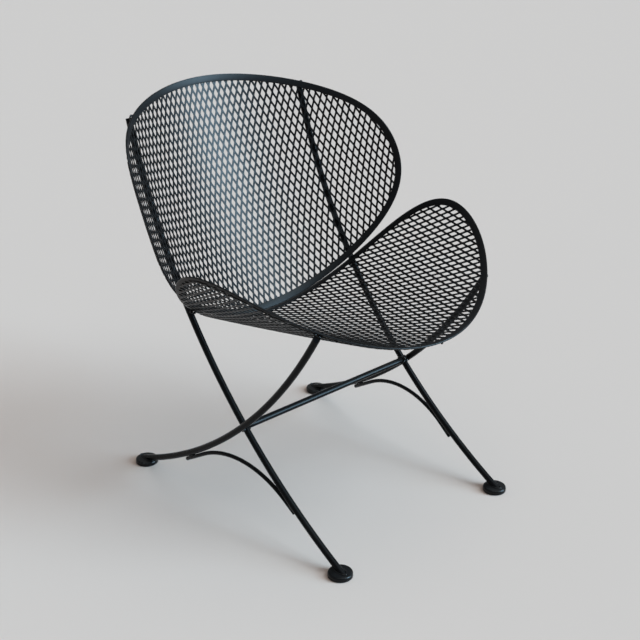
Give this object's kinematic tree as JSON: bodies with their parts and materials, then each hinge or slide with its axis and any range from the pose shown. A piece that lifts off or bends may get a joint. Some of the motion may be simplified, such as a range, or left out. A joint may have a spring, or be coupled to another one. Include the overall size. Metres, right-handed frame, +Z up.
{
  "type": "wrought iron lounge chair",
  "caption": "Welded black iron lounge chair with a bent oval mesh seat, a bent oval mesh back and crossed rod legs on disc feet.",
  "frame": {"origin": "on the floor, under the middle of the chair's box", "axes": "+Z up, the chair faces -Y, +X is the sitter's left"},
  "size_m": [0.6388, 0.6904, 0.7587],
  "materials": {
    "rod": "satin black paint",
    "flat_bar": "satin black paint",
    "expanded_metal": "satin black paint",
    "feet": "satin black paint",
    "weld_metal": "satin black paint over a weld bead"
  },
  "bodies": {
    "root": {"back_mesh": "expanded_metal", "back_rim": "flat_bar", "brace_left": "rod", "brace_right": "rod", "feet_front": "feet", "feet_rear": "feet", "front_leg_left": "rod", "front_leg_right": "rod", "rear_leg_left": "rod", "rear_leg_right": "rod", "seat_mesh": "expanded_metal", "seat_rim": "flat_bar", "stretcher": "rod", "weld_brace_front": "weld_metal", "weld_brace_rear": "weld_metal", "weld_crossing": "weld_metal", "weld_foot_front": "weld_metal", "weld_foot_rear": "weld_metal", "weld_hinge": "weld_metal", "weld_rib_top": "weld_metal", "weld_seat_front": "weld_metal", "weld_stretcher_end": "weld_metal"}
  },
  "joints": []
}
